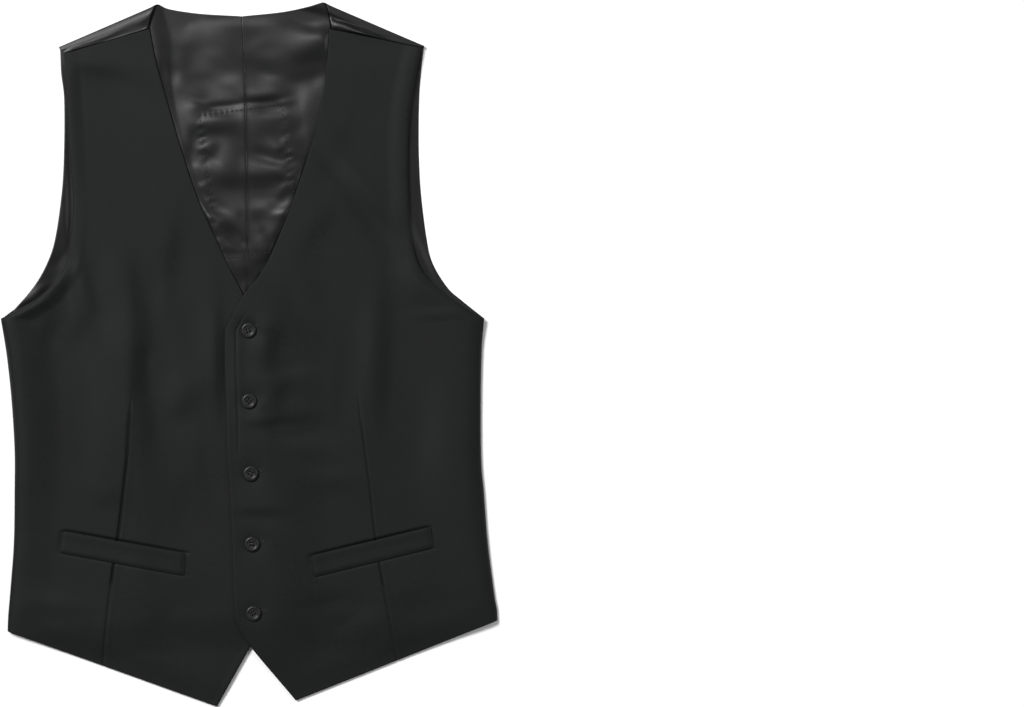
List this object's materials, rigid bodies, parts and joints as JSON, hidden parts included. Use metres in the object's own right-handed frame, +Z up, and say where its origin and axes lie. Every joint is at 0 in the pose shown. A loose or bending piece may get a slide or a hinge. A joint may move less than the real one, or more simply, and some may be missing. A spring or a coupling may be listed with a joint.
{
  "type": "heated vest",
  "caption": "Men's dress waistcoat with a heating pad stitched into its back, laid flat front up: wool fronts, satin back and lining, V neck, slanted welt pockets and buttoned front.",
  "frame": {"origin": "middle of the garment's box in plan, on the surface it lies on", "axes": "+X to the wearer's left side, +Y along the garment towards the neck, +Z up off the surface it lies on"},
  "size_m": [0.4754, 0.6748, 0.0122],
  "materials": {
    "wool": "matte fine black worsted wool",
    "satin": "soft black satin with a low sheen",
    "pad": "thin matte felt",
    "button": "polished black plastic",
    "thread": "black sewing thread"
  },
  "bodies": {
    "root": {"front_right": "wool", "front_left": "wool", "facing_right": "wool", "facing_left": "wool", "welt_right": "wool", "welt_left": "wool", "back_right": "satin", "back_left": "satin", "back_lining_right": "satin", "back_lining_left": "satin", "front_lining_right": "satin", "front_lining_left": "satin", "heat_pad": "pad", "button_1": "button", "button_2": "button", "button_3": "button", "button_4": "button", "button_5": "button", "thread_shank_1": "thread", "thread_shank_2": "thread", "thread_shank_3": "thread", "thread_shank_4": "thread", "thread_shank_5": "thread"}
  },
  "joints": []
}
